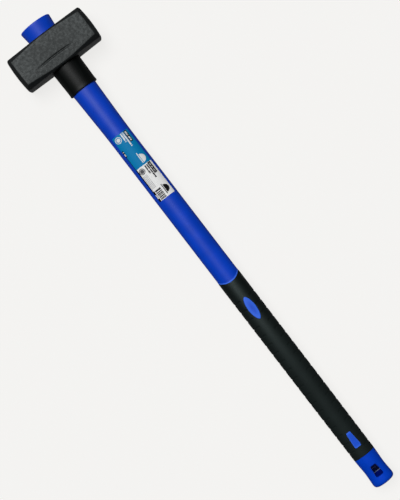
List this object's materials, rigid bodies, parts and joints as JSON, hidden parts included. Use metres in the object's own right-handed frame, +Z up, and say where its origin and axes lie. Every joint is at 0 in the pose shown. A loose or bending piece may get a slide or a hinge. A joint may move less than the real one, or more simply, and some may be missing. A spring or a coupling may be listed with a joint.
{
  "type": "sledge hammer",
  "caption": "Long-handled sledge hammer: a bevelled forged head on a plastic-covered glass-fibre handle with a rubber collar, a soft grip and a hanging hole in the butt.",
  "frame": {"origin": "on the flat lower cheek of the head, straight below the middle of the eye", "axes": "+X down the handle from the head to the butt, +Y along the head towards one striking face, +Z up through the cheeks; the hammer lies on its lower cheek at z = 0"},
  "size_m": [0.894, 0.144, 0.056],
  "materials": {
    "head_lacquer": "dark charcoal lacquer over forged steel, satin, finely speckled",
    "eye_resin": "cast amber epoxy",
    "core_glass_fibre": "pultruded glass-fibre rod",
    "jacket_blue": "satin moulded polypropylene, strong blue",
    "collar_rubber": "satin black rubber",
    "grip_rubber": "matt black soft-touch elastomer",
    "label_cyan": "printed film, cyan blue",
    "label_white": "printed film, white"
  },
  "bodies": {
    "root": {"head": "head_lacquer", "eye_resin": "eye_resin", "handle_core": "core_glass_fibre", "handle_jacket": "jacket_blue", "collar": "collar_rubber", "grip": "grip_rubber", "label_upper": "label_cyan", "label_lower": "label_white"}
  },
  "joints": []
}
